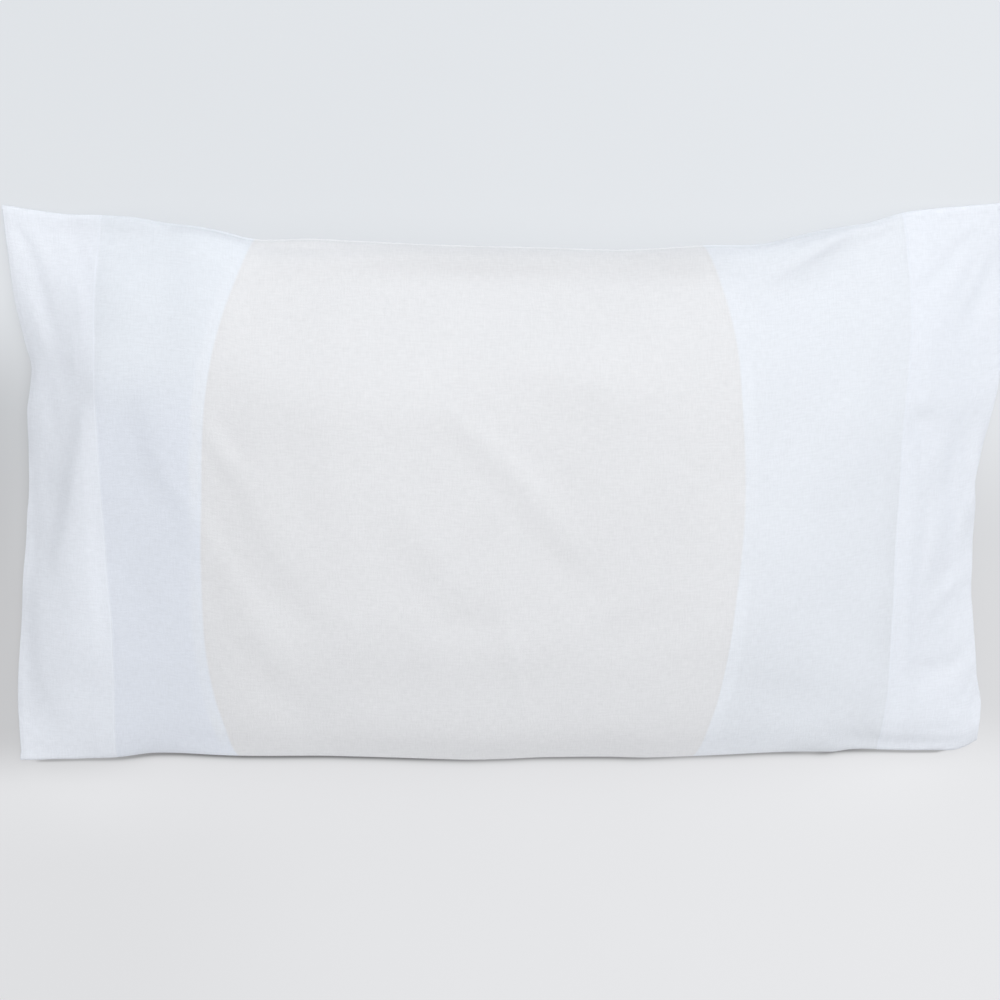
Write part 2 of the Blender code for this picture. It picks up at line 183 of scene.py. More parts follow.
# ---- creases of the upper layer, in millimetres ----------------------------------------------
# ridge: height of a rounded ridge, or depth of a trough when below zero
# lean: a bank on the left of the line as its points run, with a trough on its right
# step: one side of the line higher than the other, easing back over some way
# half_width: across each of these;  strength: share of them at each point of the line
CREASES = (
    # ridge, lean, step, half_width, points (x, y, strength)
    (-0.08, 0.22, 0.61, 4.0, ((-431.8, 237.0, 0.5), (-422.9, 223.0, 1.0), (-414.9, 208.1, 1.0), (-408.6, 188.0, 1.0), (-402.9, 168.9, 0.8), (-397.4, 149.8, 0.3))),
    (-0.34, -0.52, 3.54, 7.0, ((-437.9, 205.4, 0.2), (-432.2, 175.6, 0.7), (-425.1, 152.8, 1.0), (-420.7, 128.9, 1.0), (-419.9, 106.6, 0.8), (-419.9, 80.3, 0.5), (-419.5, 53.7, 0.3))),
    (-2.68, -0.55, 2.88, 10.0, ((-421.1, 80.1, 0.3), (-422.9, 44.5, 0.7), (-425.7, 8.1, 0.7), (-427.2, -28.3, 0.8), (-428.0, -64.4, 1.0), (-432.9, -101.1, 1.0), (-435.5, -138.5, 1.0), (-434.3, -175.9, 0.6), (-429.6, -196.5, 0.2))),
    (0.84, -0.95, 0.91, 8.0, ((-405.3, 142.6, 0.2), (-399.2, 114.7, 1.0), (-393.3, 86.2, 1.0), (-391.0, 57.3, 0.5), (-391.6, 37.9, 0.1))),
    (-0.36, -0.55, 2.17, 5.0, ((-368.5, 86.6, 0.3), (-377.4, 69.7, 0.8), (-383.1, 47.4, 1.0), (-387.7, 20.7, 1.0), (-392.9, -6.6, 1.0), (-399.8, -34.0, 1.0), (-407.5, -54.5, 1.0), (-411.2, -84.5, 0.4))),
    (0.48, 0.42, 0.21, 3.5, ((-383.7, 147.5, 0.3), (-381.9, 125.9, 1.0), (-380.3, 98.1, 0.4))),
    (0.67, 0.47, -2.10, 9.0, ((-368.6, 61.6, 0.3), (-370.0, 13.3, 1.0), (-370.0, -31.3, 1.0), (-368.9, -76.2, 1.0), (-368.9, -113.0, 0.6), (-369.3, -150.7, 0.2))),
    (-0.24, -0.29, 1.14, 6.0, ((-370.1, 112.5, 0.3), (-367.2, 96.3, 1.0), (-362.5, 83.5, 1.0), (-358.0, 71.6, 0.3))),
    (0.01, -0.07, 0.67, 7.0, ((-320.6, 91.9, 0.3), (-319.1, 68.0, 1.0), (-314.1, 46.7, 1.0), (-309.1, 26.9, 1.0), (-301.7, 8.0, 1.0), (-292.2, -7.3, 1.0), (-282.8, -24.3, 1.0), (-272.6, -43.2, 0.3))),
    (0.32, -0.66, 0.39, 8.0, ((-303.9, 44.6, 0.3), (-293.7, 24.3, 1.0), (-280.0, 4.8, 1.0), (-263.6, -14.5, 0.5))),
    (-0.17, 0.21, 0.23, 5.0, ((-267.7, 79.9, 0.3), (-265.2, 63.1, 0.8), (-260.2, 48.8, 1.0), (-253.5, 37.7, 1.0), (-245.9, 27.6, 1.0), (-236.7, 13.2, 1.0), (-228.3, -0.4, 0.5))),
    (-0.15, -0.06, 0.94, 10.0, ((-237.6, 14.0, 0.3), (-222.5, -13.2, 1.0), (-212.7, -36.5, 1.0), (-202.0, -60.0, 1.0), (-188.0, -80.5, 1.0), (-172.0, -97.3, 0.9), (-154.1, -111.6, 0.6), (-137.1, -122.5, 0.2))),
    (0.54, 0.26, -1.07, 5.0, ((-259.9, 70.0, 0.3), (-246.3, 48.2, 1.0), (-236.1, 38.1, 1.0), (-224.3, 24.7, 0.4))),
    (-0.08, -0.26, -0.52, 9.0, ((-263.3, 1.1, 0.4), (-252.6, -26.5, 1.0), (-241.8, -47.1, 1.0), (-226.7, -70.5, 1.0), (-209.1, -97.8, 0.4))),
    (-0.41, -0.18, 0.70, 14.0, ((-248.5, 102.1, 0.5), (-225.1, 87.4, 1.0), (-197.0, 69.3, 0.5))),
    (-0.07, -0.20, 1.26, 9.0, ((-235.6, -105.8, 0.3), (-224.0, -126.4, 0.9), (-210.8, -147.4, 1.0), (-193.9, -164.4, 1.0), (-175.3, -181.7, 0.3))),
    (-1.10, -1.10, 0.92, 6.0, ((-413.5, 45.2, 0.3), (-411.5, 18.5, 1.0), (-413.9, -8.8, 0.5))),
    (-0.41, -0.09, 0.63, 7.0, ((-430.1, 228.2, 0.5), (-421.6, 202.0, 1.0), (-414.3, 177.5, 1.0), (-405.9, 153.1, 1.0), (-401.8, 129.5, 0.4))),
    (0.98, 0.66, -1.80, 8.0, ((-388.4, 212.5, 0.3), (-380.2, 186.5, 1.0), (-373.9, 160.7, 1.0), (-372.0, 130.6, 0.3))),
    (-0.06, -0.21, 0.96, 6.0, ((-65.4, 65.4, 0.3), (-45.2, 56.9, 0.7), (-31.7, 44.0, 1.0), (-19.9, 26.9, 1.0), (-2.9, 15.7, 1.0), (14.2, -7.8, 1.0), (28.1, -27.3, 1.0), (42.9, -42.5, 0.9), (59.4, -56.9, 0.7), (73.4, -68.7, 0.2))),
    (0.64, -0.17, -0.64, 10.0, ((-43.4, 74.6, 0.4), (-20.7, 57.6, 1.0), (0.5, 38.8, 1.0), (22.6, 13.8, 1.0), (48.5, -15.1, 0.4))),
    (-0.61, -0.34, 0.10, 7.0, ((-129.3, 66.5, 0.4), (-112.6, 58.0, 1.0), (-99.2, 47.8, 0.4))),
    (-0.05, -0.49, 1.24, 9.0, ((-116.5, 1.7, 0.4), (-99.0, -22.6, 1.0), (-84.7, -42.9, 1.0), (-69.4, -65.2, 1.0), (-52.4, -85.0, 0.8), (-31.7, -98.0, 0.3))),
    (-0.19, -0.74, -0.48, 7.0, ((-25.0, -14.4, 0.5), (-36.9, -33.6, 1.0), (-50.6, -45.7, 1.0), (-66.0, -61.6, 0.3))),
    (-0.07, -0.35, 0.88, 9.0, ((-158.2, 44.4, 0.5), (-168.7, 24.7, 1.0), (-163.9, 3.3, 1.0), (-150.8, -26.0, 0.3))),
    (-0.08, -0.55, 6.00, 11.0, ((-211.7, 191.0, 0.3), (-179.3, 196.0, 0.8), (-145.2, 199.4, 0.9), (-102.4, 202.7, 0.8), (-59.6, 201.0, 1.0), (-8.0, 198.4, 1.0), (35.1, 198.4, 1.0), (78.6, 202.5, 1.0), (122.1, 204.2, 0.7), (156.1, 197.4, 0.8), (182.3, 195.7, 0.7), (211.3, 204.1, 0.5))),
    (-2.70, -0.37, -2.12, 5.0, ((-232.1, 218.8, 0.5), (-206.1, 214.5, 1.0), (-180.0, 212.9, 1.0), (-152.3, 212.0, 0.7), (-111.1, 212.0, 0.3))),
    (0.99, 0.59, -1.26, 8.0, ((154.7, 204.2, 0.5), (161.9, 191.5, 1.0), (169.4, 180.4, 0.4))),
    (-2.39, -0.56, 0.34, 18.0, ((65.1, -136.6, 0.3), (95.4, -123.3, 1.0), (136.9, -107.2, 0.4))),
    (0.54, -0.09, -0.10, 6.0, ((-12.9, -74.5, 0.3), (-2.3, -112.7, 1.0), (8.6, -159.3, 1.0), (14.2, -186.2, 0.4))),
    (0.26, -0.43, 3.39, 16.0, ((-34.7, 114.3, 0.4), (15.9, 102.7, 1.0), (58.1, 94.2, 1.0), (90.4, 85.6, 0.4))),
    (-0.56, -0.13, 0.41, 3.5, ((-43.7, 145.6, 0.4), (-42.3, 125.1, 1.0), (-41.6, 100.3, 0.4))),
    (1.22, -1.00, 2.68, 14.0, ((-86.9, -102.8, 0.4), (-61.0, -88.6, 1.0), (-26.6, -85.2, 1.0), (8.0, -91.2, 0.4))),
    (-1.12, -0.06, -2.90, 6.0, ((324.5, 236.1, 0.5), (303.0, 224.7, 1.0), (287.4, 215.2, 1.0), (272.1, 206.6, 1.0), (257.1, 198.9, 0.8), (242.5, 192.1, 0.7), (226.1, 183.6, 0.5), (209.6, 175.2, 0.2))),
    (1.42, 2.49, 2.16, 4.5, ((326.8, 239.6, 0.4), (309.0, 234.3, 1.0), (294.0, 230.0, 1.0), (278.5, 226.5, 0.7), (261.3, 221.3, 0.4))),
    (0.05, 0.15, -4.91, 12.0, ((301.2, 216.0, 0.6), (274.5, 198.8, 1.0), (249.2, 185.1, 1.0), (221.4, 173.4, 0.4))),
    (0.36, -0.14, -2.28, 4.0, ((357.3, 239.7, 0.5), (343.7, 234.4, 1.0), (330.3, 230.0, 1.0), (316.7, 221.2, 0.3))),
    (2.49, -1.06, 0.34, 4.5, ((259.9, 224.7, 0.5), (243.5, 219.5, 1.0), (224.5, 215.2, 0.5))),
    (0.85, -0.78, -0.67, 5.0, ((423.5, 235.3, 0.4), (407.7, 222.9, 1.0), (395.1, 211.4, 1.0), (387.0, 200.0, 1.0), (375.6, 192.1, 0.8), (357.6, 181.8, 0.4))),
    (1.20, 2.89, -2.85, 7.0, ((430.9, 216.6, 0.5), (421.3, 192.7, 1.0), (413.0, 175.0, 1.0), (397.7, 154.0, 0.4))),
    (0.11, -0.23, 1.82, 6.0, ((413.7, 214.0, 0.4), (400.9, 201.7, 1.0), (389.4, 185.9, 0.6), (380.7, 168.4, 0.2))),
    (-1.48, 0.32, -1.69, 4.0, ((360.8, 230.9, 0.6), (357.2, 216.8, 1.0), (354.4, 203.6, 0.4))),
    (0.65, -0.20, 1.97, 6.0, ((349.7, 60.2, 0.3), (361.4, 69.4, 1.0), (375.2, 73.3, 1.0), (394.4, 65.1, 0.4))),
    (3.23, 3.20, -3.23, 9.0, ((432.7, 59.5, 0.4), (425.5, 39.7, 1.0), (423.3, 18.8, 1.0), (426.0, -5.9, 0.4))),
    (-1.11, 0.37, 0.42, 5.0, ((367.2, 66.3, 0.4), (371.4, 40.0, 1.0), (370.8, 4.0, 0.4))),
    (-1.61, -1.50, -0.38, 9.0, ((403.1, 51.8, 0.4), (398.9, 29.3, 1.0), (398.7, 1.7, 0.5))),
    (1.55, -1.64, 3.23, 16.0, ((332.9, 177.6, 0.4), (327.7, 134.4, 1.0), (323.7, 104.1, 1.0), (310.1, 79.4, 1.0), (289.3, 57.6, 0.4))),
    (0.99, -0.04, -1.05, 6.0, ((432.6, -77.1, 0.9), (417.9, -89.7, 1.0), (403.7, -99.6, 1.0), (391.4, -107.8, 0.9), (379.9, -120.0, 0.3))),
    (0.52, -1.13, 1.13, 7.0, ((428.8, -98.1, 0.6), (412.6, -117.8, 1.0), (399.4, -131.5, 1.0), (383.2, -137.5, 0.4))),
    (-1.99, -0.61, 2.22, 6.0, ((407.6, -79.9, 0.4), (392.6, -95.2, 1.0), (377.5, -110.5, 0.4))),
    (-0.12, -0.17, -0.53, 5.0, ((432.0, -135.7, 0.5), (416.9, -153.8, 1.0), (405.6, -163.8, 1.0), (389.1, -165.0, 0.8), (367.6, -156.7, 0.4))),
    (0.03, 0.47, 1.22, 8.0, ((430.8, -159.2, 0.5), (415.2, -174.8, 1.0), (398.1, -181.0, 0.5))),
    (-1.27, 0.47, 1.89, 5.0, ((382.3, -15.2, 0.4), (379.6, -42.6, 1.0), (376.9, -65.5, 1.0), (376.3, -88.9, 0.4))),
    (0.11, 0.59, 2.63, 5.0, ((421.2, -0.4, 0.4), (415.4, -20.5, 1.0), (410.8, -44.5, 0.4))),
    (0.04, 2.24, -3.23, 8.0, ((359.4, -97.0, 0.4), (359.3, -127.1, 1.0), (359.6, -161.5, 0.4))),
    (0.49, 2.57, -1.27, 5.0, ((433.0, -183.2, 0.4), (427.0, -200.2, 1.0), (421.7, -213.4, 0.4))),
    (1.57, -1.35, 3.57, 8.0, ((308.2, -218.1, 0.4), (343.6, -229.4, 1.0), (373.5, -233.8, 1.0), (403.7, -236.1, 1.0), (428.8, -236.9, 0.8), (442.6, -235.2, 0.5))),
    (-0.32, -0.58, 0.62, 5.0, ((321.3, -193.9, 0.4), (319.3, -211.9, 1.0), (330.0, -229.6, 1.0), (345.2, -238.7, 0.4))),
    (0.84, -0.57, 1.80, 16.0, ((211.1, -147.7, 0.4), (258.3, -158.7, 1.0), (304.0, -176.3, 0.4))),
)

# broad soft swells and hollows of the upper layer, in millimetres
SWELLS = (
    # height, x, y, reach_x, reach_y
    (0.72, -356.0, 191.0, 40.0, 36.0),
    (-1.32, -179.0, 133.0, 90.0, 45.0),
    (5.30, 33.0, 20.0, 140.0, 80.0),
    (-1.82, -300.0, 145.0, 40.0, 60.0),
    (-0.60, 316.0, 135.0, 35.0, 60.0),
    (3.80, 119.0, 137.0, 70.0, 45.0),
    (2.39, -51.0, 133.0, 80.0, 40.0),
    (4.89, -163.0, -31.0, 80.0, 70.0),
    (-1.17, 95.0, -123.0, 80.0, 45.0),
    (3.25, 384.0, 142.0, 35.0, 70.0),
    (-2.84, 398.0, -152.0, 35.0, 60.0),
    (5.99, -401.0, -115.0, 35.0, 70.0),
    (-4.30, -306.0, -90.0, 45.0, 70.0),
    (5.38, 272.0, -56.0, 60.0, 90.0),
    (2.56, -395.0, 55.0, 32.0, 60.0),
    (-2.23, 272.0, 187.0, 60.0, 30.0),
    (1.92, -61.0, -140.0, 110.0, 50.0),
    (-3.20, -180.0, 213.0, 60.0, 18.0),
    (1.38, -428.0, -228.0, 24.0, 16.0),
    (-1.52, -320.0, -185.0, 40.0, 30.0),
    (-2.06, 261.0, -187.0, 60.0, 40.0),
    (1.36, 388.0, 26.0, 28.0, 36.0),
    (-5.94, -26.0, 154.0, 190.0, 45.0),
    (7.00, -26.0, 88.0, 190.0, 45.0),
    (0.47, -27.0, 3.0, 190.0, 50.0),
    (-3.40, -27.0, -85.0, 190.0, 50.0),
    (-6.51, -26.0, -169.0, 190.0, 40.0),
    (7.00, -161.0, 71.0, 90.0, 90.0),
    (-4.49, 77.0, -51.0, 100.0, 90.0),
    (3.87, -295.0, -54.0, 50.0, 90.0),
    (-4.39, 303.0, -95.0, 60.0, 70.0),
    (5.35, 297.0, 83.0, 50.0, 80.0),
    (5.37, -291.0, 69.0, 45.0, 60.0),
    (-7.00, -329.0, 213.0, 60.0, 30.0),
    (-0.51, -258.0, -67.0, 6.5, 6.5),
    (1.71, 197.0, -7.0, 4.0, 5.0),
    (-0.78, -259.0, -87.0, 9.0, 14.0),
)


# ---- curves and functions of the lie ----------------------------------------------------------
def through(knots, values, at):
    """A smooth curve through a table's rows, flat at its peaks."""
    knots, values = np.asarray(knots, float), np.asarray(values, float)
    step = np.diff(knots)
    slope = np.diff(values) / step
    tangent = np.empty_like(values)
    tangent[0], tangent[-1] = slope[0], slope[-1]
    inner = (slope[:-1] * step[1:] + slope[1:] * step[:-1]) / (step[1:] + step[:-1])
    tangent[1:-1] = np.where(slope[:-1] * slope[1:] > 0.0, inner, 0.0)
    place = np.clip(at, knots[0], knots[-1])
    row = np.clip(np.searchsorted(knots, place, side="right") - 1, 0, len(step) - 1)
    h = step[row]
    t = (place - knots[row]) / h
    return (
        (2 * t**3 - 3 * t**2 + 1) * values[row]
        + (t**3 - 2 * t**2 + t) * h * tangent[row]
        + (3 * t**2 - 2 * t**3) * values[row + 1]
        + (t**3 - t**2) * h * tangent[row + 1]
    )


def column(name, along):
    rows = np.array(SECTIONS) * MM
    return through(rows[:, ALONG], rows[:, name], along)


def smooth(low, high, value):
    t = np.clip((value - low) / (high - low), 0.0, 1.0)
    return t * t * (3.0 - 2.0 * t)


def fullness(along):
    """1 where the pillow holds the case open, 0 at the flattened mouths."""
    return 1.0 - smooth(0.26, 0.45, np.abs(along))


def layer_height(along, across, upper):
    """Height of the outside of a layer.  across runs from -1 at the folded edge to 1 at the seamed edge."""
    edge_z, crown_z, full = column(EDGE_Z, along), column(CROWN_Z, along), fullness(along)
    c = np.clip(np.abs(across), 0.0, 1.0)
    half_width = (column(HIGH_Y, along) - column(LOW_Y, along)) / 2.0
    reach = np.maximum(0.0, c - 1.0 + EDGE_RADIUS / half_width) * half_width / EDGE_RADIUS
    turn = np.sqrt(np.clip(1.0 - reach**2, 0.0, 1.0))
    if upper:
        crown = np.clip(1.0 - c ** (2.0 + 0.35 * full), 0.0, 1.0) ** (1.0 / (1.0 + 0.85 * full))
        return edge_z + EDGE_RADIUS * turn + (crown_z - edge_z - EDGE_RADIUS) * crown
    belly = np.clip(1.0 - c ** (2.0 + 1.5 * full), 0.0, 1.0) ** (1.0 / (1.0 + full))
    return np.maximum(0.0, edge_z - EDGE_RADIUS * turn - UNDERSIDE_PRESS * (edge_z - EDGE_RADIUS) * belly)


def places(total, steps):
    """Distances along a layer's cross-section where its points lie, closer together round its two edges."""
    quarter = EDGE_RADIUS * np.pi / 2.0
    edge = np.linspace(0.0, quarter, EDGE_STEPS + 1)
    u = np.linspace(0.0, 1.0, steps + 1)
    eased = u - 0.115 * np.sin(2.0 * np.pi * u)
    middle = quarter + (total - 2.0 * quarter) * eased
    return np.concatenate((edge[:-1], middle, total - edge[::-1][1:]))


def section_outline(along, upper, steps):
    """One layer's cross-section: y, z and distance from the folded edge."""
    theta = np.linspace(0.0, np.pi, 2401)
    across = -np.cos(theta)
    low_y, high_y = column(LOW_Y, along), column(HIGH_Y, along)
    y = (low_y + high_y) / 2.0 + across * (high_y - low_y) / 2.0
    z = layer_height(along, across, upper)
    length = np.concatenate(([0.0], np.cumsum(np.hypot(np.diff(y), np.diff(z)))))
    at = places(length[-1], steps)
    return np.interp(at, length, y), np.interp(at, length, z), at


def stops_along():
    """Where the mesh has its rings along the case: closer together at the hem's stitching and its rim."""
    half, hem = CASE_LENGTH / 2.0, CASE_LENGTH / 2.0 - HEM_DEPTH
    near = np.concatenate((
        hem + np.array([-4.0, -2.6, -1.6, -0.9, -0.3, 0.3, 0.9, 1.6, 2.6, 4.0]) * MM,
        hem + TURN_IN + np.array([-2.4, -1.1, 0.0, 1.1, 2.4]) * MM,
        half - np.array([0.0, 0.7, 1.8, 3.4]) * MM,
    ))
    plain = np.linspace(0.0, half, int(round(half / STEP_ALONG)) + 1)
    plain = plain[np.min(np.abs(plain[:, None] - near[None]), axis=1) > 1.5 * MM]
    side = np.sort(np.concatenate((plain, near)))
    return np.concatenate((-side[::-1][:-1], side))


def beside_line(x, y, points):
    """How far to the left of a line, how far past its ends and how strong the line is at its nearest place."""
    best = np.full(x.shape, np.inf)
    side, past, strength = np.zeros(x.shape), np.zeros(x.shape), np.zeros(x.shape)
    for start, end in zip(points[:-1], points[1:]):
        length = np.hypot(*(end - start)[:2])
        ux, uy = (end - start)[:2] / length
        along = (x - start[0]) * ux + (y - start[1]) * uy
        left = -(x - start[0]) * uy + (y - start[1]) * ux
        over = np.maximum(0.0, np.maximum(-along, along - length))
        far = np.hypot(left, over)
        nearer = far < best
        best = np.where(nearer, far, best)
        side, past = np.where(nearer, left, side), np.where(nearer, over, past)
        here = start[2] + (end[2] - start[2]) * np.clip(along / length, 0.0, 1.0)
        strength = np.where(nearer, here, strength)
    return side, past, strength


def rounded(points, rounds=3):
    """The same line with its corners cut again and again, so that it bends smoothly."""
    points = np.array(points, float)
    for _ in range(rounds):
        if len(points) < 3:
            break
        quarter = 0.75 * points[:-1] + 0.25 * points[1:]
        three = 0.25 * points[:-1] + 0.75 * points[1:]
        cut = np.stack((quarter, three), 1).reshape(-1, points.shape[1])
        points = np.concatenate((points[:1], cut[1:-1], points[-1:]))
    return points


def crease_relief(x, y):
    """What the creases and swells add to the upper layer, in metres, for x and y in metres."""
    x, y = x / MM, y / MM
    total = np.zeros_like(x)
    for ridge, lean, step, half_width, points in CREASES:
        points = np.array(points)
        reach = 7.0 * half_width
        near = (x > points[:, 0].min() - reach) & (x < points[:, 0].max() + reach)
        near &= (y > points[:, 1].min() - reach) & (y < points[:, 1].max() + reach)
        side, past, strength = beside_line(x[near], y[near], rounded(points))
        q = side / half_width
        core = np.exp(-(q**2)) * np.exp(-((past / (1.2 * half_width)) ** 2))
        bank = np.tanh(1.1 * q) * np.exp(-((q / 3.6) ** 2)) * np.exp(-((past / (2.5 * half_width)) ** 2))
        total[near] += strength * ((ridge + 1.65 * lean * q) * core + step * bank)
    for height, at_x, at_y, reach_x, reach_y in SWELLS:
        total += height * np.exp(-(((x - at_x) / reach_x) ** 2) - ((y - at_y) / reach_y) ** 2)
    return total * MM


def ripples(x, y, shortest, longest, count, seed):
    """Gentle unevenness: many shallow waves of mixed lengths and directions, about 1 high."""
    waves = np.random.default_rng(seed)
    total = np.zeros_like(x)
    for _ in range(count):
        length = np.exp(waves.uniform(np.log(shortest), np.log(longest)))
        turn, phase = waves.uniform(0, np.pi), waves.uniform(0, 2 * np.pi)
        total += np.sin(2 * np.pi * (x * np.cos(turn) + y * np.sin(turn)) / length + phase) * (length / longest) ** 0.8
    return total / np.sqrt(count / 2.0)


# ---- the cloth ---------------------------------------------------------------------------------
def tube_points():
    """Rings of the outside of the case, with their flat-cloth coordinates and which layer they are on."""
    stops = stops_along()
    fine = np.linspace(-CASE_LENGTH / 2.0, CASE_LENGTH / 2.0, 601)
    upper = np.array([section_outline(s, True, STEPS_UPPER) for s in fine])
    under = np.array([section_outline(s, False, STEPS_UNDER) for s in fine])
    travel = np.diff(fine)[:, None] ** 2 - np.diff(upper[:, 0], axis=0) ** 2 - np.diff(upper[:, 1], axis=0) ** 2
    step = np.sqrt(np.maximum(travel, (0.35 * np.diff(fine)[:, None]) ** 2))
    x = np.concatenate((np.zeros((1, step.shape[1])), np.cumsum(step, axis=0)))
    x -= x[len(fine) // 2]
    stray = smooth(0.33, 0.45, np.abs(fine))[:, None]
    edge = np.array(MOUTH_EDGES) * MM
    for side, sign in ((1, -1.0), (2, 1.0)):
        out = through(edge[:, 0], edge[:, side], upper[:, 0])
        x += sign * out * stray * (np.sign(fine)[:, None] == sign)
    # the under layer keeps to the upper one's outline
    share_u = upper[:, 2] / upper[:, 2][:, -1:]
    share_l = under[:, 2] / under[:, 2][:, -1:]
    x_under = np.array([np.interp(b, a, row) for a, b, row in zip(share_u, share_l, x)])

    def at_stops(field):
        return np.array([np.interp(stops, fine, field[:, k]) for k in range(field.shape[1])]).T

    top = np.stack([at_stops(f) for f in (x, upper[:, 0], upper[:, 1])], -1)
    low = np.stack([at_stops(f) for f in (x_under, under[:, 0], under[:, 1])], -1)
    top_share, low_share = at_stops(share_u), at_stops(share_l)
    ring = np.concatenate((top[:, ::-1], low[:, 1:-1]), axis=1)
    share = np.concatenate((top_share[:, ::-1], low_share[:, 1:-1]), axis=1)
    is_upper = np.zeros(ring.shape[1], bool)
    is_upper[: top.shape[1]] = True
    flat = ring.reshape(-1, 3)
    ring = ring - np.array([(flat[:, 0].min() + flat[:, 0].max()) / 2, (flat[:, 1].min() + flat[:, 1].max()) / 2, 0.0])
    # the two hems have shifted a little along the case, more at some places than at others
    lines, hem = np.array(HEM_LINES) * MM, CASE_LENGTH / 2.0 - HEM_DEPTH
    for sign, side in ((-1.0, 1), (1.0, 2)):
        k = int(np.argmin(np.abs(stops - sign * hem)))
        shift = through(lines[:, 0], lines[:, side], ring[k, :, 1]) - ring[k, :, 0]
        ring[..., 0] += np.exp(-(((stops - sign * hem) / 0.045) ** 2))[:, None] * shift[None]
    return stops, ring, share, is_upper


def ring_normals(ring):
    along = np.gradient(ring, axis=0)
    around = (np.roll(ring, -1, axis=1) - np.roll(ring, 1, axis=1)) / 2.0
    normal = np.cross(around, along)
    return normal / np.maximum(np.linalg.norm(normal, axis=-1, keepdims=True), 1e-12)


def hem_relief(past):
    """Height of the hem's outside, in metres, by distance past its stitching."""
    p = past / MM
    turn = TURN_IN / MM
    return MM * (
        0.16 * smooth(-1.2, 1.8, p)
        - 0.07 * np.exp(-(((p + 1.4) / 1.4) ** 2))
        - 0.10 * np.exp(-(((p - 1.6) / 0.7) ** 2))
        - 0.06 * smooth(-1.0, 1.0, p - turn)
    )


def seam_relief(x, from_seam, upper):
    """The seamed edge: a firm lip with a groove behind it, and small puckers, in metres."""
    d = np.abs(from_seam) / MM
    pucker = 1.0 + 0.45 * np.sin(x / 0.0031 + 2.0 * np.sin(x / 0.017)) + 0.35 * np.sin(x / 0.0083 + 1.0)
    lip = 0.45 * np.exp(-((d / 2.2) ** 4))
    groove = -(0.28 if upper else 0.3) * np.exp(-(((d - 4.6) / 1.5) ** 2)) * pucker
    return MM * (lip + groove)


def cloth_points():
    stops, ring, share, is_upper = tube_points()
    normal = ring_normals(ring)
    x, y = ring[..., 0], ring[..., 1]
    up = np.broadcast_to(is_upper[None], x.shape)
    past_hem = np.abs(stops)[:, None] - (CASE_LENGTH / 2.0 - HEM_DEPTH) + 0.0 * x
    from_seam = (1.0 - share) * CASE_WIDTH
    from_fold = share * CASE_WIDTH
    in_from_edges = smooth(0.0, 0.030, np.minimum(from_seam, from_fold))

    lift = np.where(up, crease_relief(x, y), 0.0) * smooth(0.0, 0.022, np.minimum(from_seam, from_fold))
    # unevenness of the cloth itself, a little stronger in the slack ends
    slack = smooth(0.24, 0.36, np.abs(stops))[:, None]
    relief = MM * in_from_edges * np.where(up, 1.0, 0.0) * (
        (0.22 + 0.35 * slack) * ripples(x, y, 0.045, 0.150, 60, 3) + (0.035 + 0.05 * slack) * ripples(x, y, 0.014, 0.04, 70, 5)
    )
    lifted = smooth(0.0015, 0.010, ring[..., 2])
    relief += MM * np.where(up, 0.0, 1.0) * lifted * (
        1.6 * ripples(x, y, 0.05, 0.16, 40, 8) + 0.25 * ripples(x, y, 0.016, 0.04, 60, 9)
    ) * in_from_edges
    relief += hem_relief(past_hem)
    relief += seam_relief(x, from_seam, True) * up + seam_relief(x, from_seam, False) * (~up)
    fold = np.exp(-((from_fold / 0.003) ** 2))
    relief += MM * 0.15 * fold * np.sin(x / 0.0070 + 1.7 * np.sin(x / 0.023))
    # the mouths' free edges wave a little
    wave = smooth(0.405, 0.450, np.abs(stops))[:, None] * smooth(0.0, 0.05, np.minimum(from_seam, from_fold))
    relief += MM * wave * np.where(up, 1.0, 0.0) * (
        1.5 * np.sin(y / 0.030 + 0.6 + 1.2 * np.sin(y / 0.071) + np.sign(stops)[:, None]) + 0.7 * np.sin(y / 0.0125 + 2.0)
    )
    outer = ring + normal * relief[..., None]
    outer[..., 2] += lift
    outer[..., 2] = np.maximum(outer[..., 2], np.where(up, -1.0, 0.0))
    thickness = CLOTH + (HEM_CLOTH - CLOTH) * smooth(-1.0 * MM, 1.0 * MM, past_hem)
    return stops, outer, thickness, share, is_upper, past_hem


def add_mesh(name, points, faces, finish, smooth_shading=True):
    mesh = bpy.data.meshes.new(name)
    mesh.from_pydata([tuple(p) for p in points], [], [tuple(int(i) for i in f) for f in faces])
    mesh.validate()
    mesh.update()
    made = bpy.data.objects.new(name, mesh)
    bpy.context.scene.collection.objects.link(made)
    if finish is not None:
        mesh.materials.append(finish)
    if smooth_shading:
        mesh.shade_smooth()
    return made


def store(obj, name, values):
    attribute = obj.data.attributes.new(name, "FLOAT", "POINT")
    attribute.data.foreach_set("value", np.asarray(values, np.float32).ravel())


def strip(a, b, flip=False):
    """Quads between two closed rings of point numbers."""
    quads = np.stack((a, np.roll(a, -1), np.roll(b, -1), b), -1)
    return quads[:, ::-1] if flip else quads


def field_distance(x, y):
    """Distance outside the warm field, in metres: below zero over the pillow."""
    rims = np.array(FIELD_RIMS) * MM
    left = through(rims[:, 0], rims[:, 1], y)
    right = through(rims[:, 0], rims[:, 2], y)
    slope_l = (through(rims[:, 0], rims[:, 1], y + MM) - left) / MM
    slope_r = (through(rims[:, 0], rims[:, 2], y + MM) - right) / MM
    return np.maximum((left - x) / np.hypot(1.0, slope_l), (x - right) / np.hypot(1.0, slope_r))


def rim_strength(x, y):
    rims = np.array(FIELD_RIMS)
    left = through(rims[:, 0] * MM, rims[:, 3], y)
    right = through(rims[:, 0] * MM, rims[:, 4], y)
    return np.where(x < 0.0, left, right)


